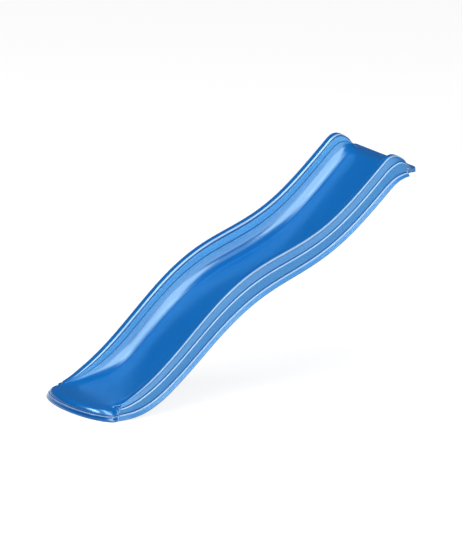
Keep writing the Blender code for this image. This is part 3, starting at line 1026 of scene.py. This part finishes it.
def shell_plastic():
    """Blue polyethylene: polished on the bed and rails, finely textured on the walls and skirts, with
    painted shade in grooves and painted highlights along edges.
    """
    made = Nodes("blue_polyethylene")
    frost, painted_highlight, shade = [
        made.add("ShaderNodeAttribute", attribute_name=name).outputs["Fac"]
        for name in ("frost", "painted_highlight", "shade")
    ]
    cloud = made.noise(*CLOUD)
    mottle = made.remap(made.noise(*MOTTLE), *MOTTLE_SPAN, 0.0, 1.0)
    grain = made.noise(*GRAIN)
    pebble = made.noise(*PEBBLE)
    swirl = made.noise(*SWIRL)
    lines = made.noise(*SCRATCHES)
    scratch = made.remap(lines, *SCRATCH_SPAN, 0.0, 1.0)
    deep = made.blend(cloud, *DEEP_BLUES)
    pale = made.blend(mottle, *PALE_BLUES)
    colour = made.blend(frost, deep, pale)
    # Painted shade: dark blue in the grooves, the crease and along the rail's outer edge
    colour = made.blend(made.math("MULTIPLY", shade, SHADE_SHARE), colour, SHADE_BLUE)
    # Painted highlight: pale blue along ledge edges, rail shoulders and the crease's ridge, broken by a
    # grain
    highlight_amount = made.math("MULTIPLY", painted_highlight, made.remap(grain, *NOISE_SPAN, *PAINTED_HIGHLIGHT_SHARES))
    colour = made.blend(highlight_amount, colour, PAINTED_HIGHLIGHT_BLUE)
    colour = made.blend(made.math("MULTIPLY", scratch, SCRATCH_SHARE), colour, SCRATCH_BLUE)
    made.link(colour, made.shader.inputs["Base Color"])
    rough = made.remap(frost, 0.0, FULL_FROST, *SHELL_ROUGH)
    rough = made.math("ADD", rough, made.remap(cloud, *NOISE_SPAN, *CLOUD_ROUGH))
    rough = made.math("ADD", rough, made.math("MULTIPLY", scratch, SCRATCH_ROUGH))
    made.link(rough, made.shader.inputs["Roughness"])
    peel = made.bump(swirl, PEEL_HEIGHT, PEEL_STRENGTH)
    strength = made.remap(frost, 0.0, FULL_FROST, *PEBBLE_STRENGTH)
    texture = made.bump(pebble, PEBBLE_HEIGHT, strength, peel)
    made.link(texture, made.shader.inputs["Normal"])
    made.shader.inputs["IOR"].default_value = SHELL_IOR
    made.shader.inputs["Specular IOR Level"].default_value = SHELL_GLOSS
    made.shader.inputs["Specular Tint"].default_value = SHELL_TINT
    return made.material


def cap_plastic():
    """The caps' plastic, a shade deeper, with a fine grain."""
    made = Nodes("blue_cap_plastic")
    cloud = made.noise(*CAP_CLOUD)
    grain = made.noise(*CAP_GRAIN)
    colour = made.blend(cloud, *CAP_BLUES)
    made.link(colour, made.shader.inputs["Base Color"])
    made.link(made.remap(grain, *NOISE_SPAN, *CAP_ROUGH), made.shader.inputs["Roughness"])
    made.link(made.bump(grain, *CAP_BUMP), made.shader.inputs["Normal"])
    return made.material


def zinc_steel(name, light, dark, rough):
    """Zinc plated steel: faint spangle, fine grain and uneven shine."""
    made = Nodes(name)
    spangle = made.add("ShaderNodeTexVoronoi")
    spangle.inputs["Scale"].default_value = SPANGLE_SCALE
    made.link(made.place, spangle.inputs["Vector"])
    cells = spangle.outputs["Color"]
    grain = made.noise(*ZINC_GRAIN)
    shade = made.blend(grain, dark, light)
    share = made.remap(cells, 0.0, 1.0, 0.0, SPANGLE_SHARE)
    made.link(made.blend(share, shade, SPANGLE_COLOUR), made.shader.inputs["Base Color"])
    uneven = made.remap(grain, *NOISE_SPAN, rough - ZINC_SMOOTHER, rough + ZINC_ROUGHER)
    made.link(uneven, made.shader.inputs["Roughness"])
    made.link(made.bump(grain, *ZINC_BUMP), made.shader.inputs["Normal"])
    made.shader.inputs["Metallic"].default_value = 1.0
    return made.material


def floor_surface():
    """White floor: plain white to the camera and in reflections, with the object's shadow kept."""
    made = bpy.data.materials.new("studio_floor")
    made.use_nodes = True
    tree = made.node_tree
    tree.nodes.clear()
    output = tree.nodes.new("ShaderNodeOutputMaterial")
    diffuse = tree.nodes.new("ShaderNodeBsdfDiffuse")
    diffuse.inputs["Color"].default_value = (*FLOOR_COLOUR, 1.0)
    glow = tree.nodes.new("ShaderNodeEmission")
    glow.inputs["Color"].default_value = (1.0, 1.0, 1.0, 1.0)
    path = tree.nodes.new("ShaderNodeLightPath")
    seen = path.outputs["Is Camera Ray"]
    for ray in ("Is Glossy Ray", "Is Transmission Ray"):
        either = tree.nodes.new("ShaderNodeMath")
        either.operation = "MAXIMUM"
        tree.links.new(seen, either.inputs[0])
        tree.links.new(path.outputs[ray], either.inputs[1])
        seen = either.outputs["Value"]
    level = tree.nodes.new("ShaderNodeMath")
    level.operation = "MULTIPLY"
    level.inputs[1].default_value = FLOOR_GLOW
    tree.links.new(seen, level.inputs[0])
    tree.links.new(level.outputs["Value"], glow.inputs["Strength"])
    both = tree.nodes.new("ShaderNodeAddShader")
    tree.links.new(diffuse.outputs["BSDF"], both.inputs[0])
    tree.links.new(glow.outputs["Emission"], both.inputs[1])
    tree.links.new(both.outputs["Shader"], output.inputs["Surface"])
    return made


def make_floor():
    mesh = bmesh.new()
    half = FLOOR_SIZE / 2
    places = ((-half, -half), (half, -half), (half, half), (-half, half))
    mesh.faces.new([mesh.verts.new((x, y, -FLOOR_DROP)) for x, y in places])
    floor = object_from(mesh, "studio_floor")
    floor.data.materials.append(floor_surface())


def make_world():
    """White round the horizon and dimmer overhead, as in a studio with a white sweep."""
    world = bpy.data.worlds.new("studio")
    world.use_nodes = True
    tree = world.node_tree
    background = tree.nodes["Background"]
    place = tree.nodes.new("ShaderNodeTexCoord")
    split = tree.nodes.new("ShaderNodeSeparateXYZ")
    fade = tree.nodes.new("ShaderNodeMapRange")
    fade.interpolation_type = "SMOOTHSTEP"
    for key, value in zip(("From Min", "From Max", "To Min", "To Max"), WORLD_FADE):
        fade.inputs[key].default_value = value
    tree.links.new(place.outputs["Generated"], split.inputs["Vector"])
    tree.links.new(split.outputs["Z"], fade.inputs["Value"])
    tree.links.new(fade.outputs["Result"], background.inputs["Strength"])
    background.inputs["Color"].default_value = (1.0, 1.0, 1.0, 1.0)
    bpy.context.scene.world = world


def make_lights():
    target = Vector(LIGHT_AIM)
    for name, direction, distance, width, height, radiance in SOFT_BOXES:
        data = bpy.data.lights.new(name, "AREA")
        data.shape = "RECTANGLE"
        data.size = width
        data.size_y = height
        data.energy = radiance * math.pi * width * height
        light = bpy.data.objects.new(name, data)
        bpy.context.scene.collection.objects.link(light)
        towards = Vector(direction).normalized()
        light.location = target + towards * distance
        light.rotation_mode = "QUATERNION"
        light.rotation_quaternion = towards.to_track_quat("Z", "Y")


def make_camera():
    azimuth = math.radians(CAMERA_AZIMUTH)
    elevation = math.radians(CAMERA_ELEVATION)
    back = Vector(
        (
            math.sin(azimuth) * math.cos(elevation),
            -math.cos(azimuth) * math.cos(elevation),
            math.sin(elevation),
        )
    )
    data = bpy.data.cameras.new("camera")
    data.lens = CAMERA_LENS
    data.sensor_width = SENSOR
    data.clip_start = CLIP_START
    data.clip_end = CLIP_END
    camera = bpy.data.objects.new("camera", data)
    bpy.context.scene.collection.objects.link(camera)
    camera.location = Vector(CAMERA_AIM) + back * CAMERA_DISTANCE
    camera.rotation_mode = "QUATERNION"
    camera.rotation_quaternion = back.to_track_quat("Z", "Y")
    bpy.context.scene.camera = camera


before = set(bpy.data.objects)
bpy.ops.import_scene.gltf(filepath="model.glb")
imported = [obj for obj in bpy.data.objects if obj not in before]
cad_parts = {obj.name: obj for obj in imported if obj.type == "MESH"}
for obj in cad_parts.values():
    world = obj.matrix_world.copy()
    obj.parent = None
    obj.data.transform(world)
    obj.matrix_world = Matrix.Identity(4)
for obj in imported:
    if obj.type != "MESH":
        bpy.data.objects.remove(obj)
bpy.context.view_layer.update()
bpy.context.scene.view_settings.view_transform = "Standard"
make_chute(shell_plastic())
screw_metal = zinc_steel("zinc_plated_steel", *SCREW_ZINC)
washer_metal = zinc_steel("washer_zinc", *WASHER_ZINC)
cap_blue = cap_plastic()
for side, y in WELLS.items():
    make_screw(side, y, screw_metal)
    make_washer(side, y, washer_metal)
    make_cap(side, y, cap_blue)
make_floor()
make_world()
make_lights()
make_camera()
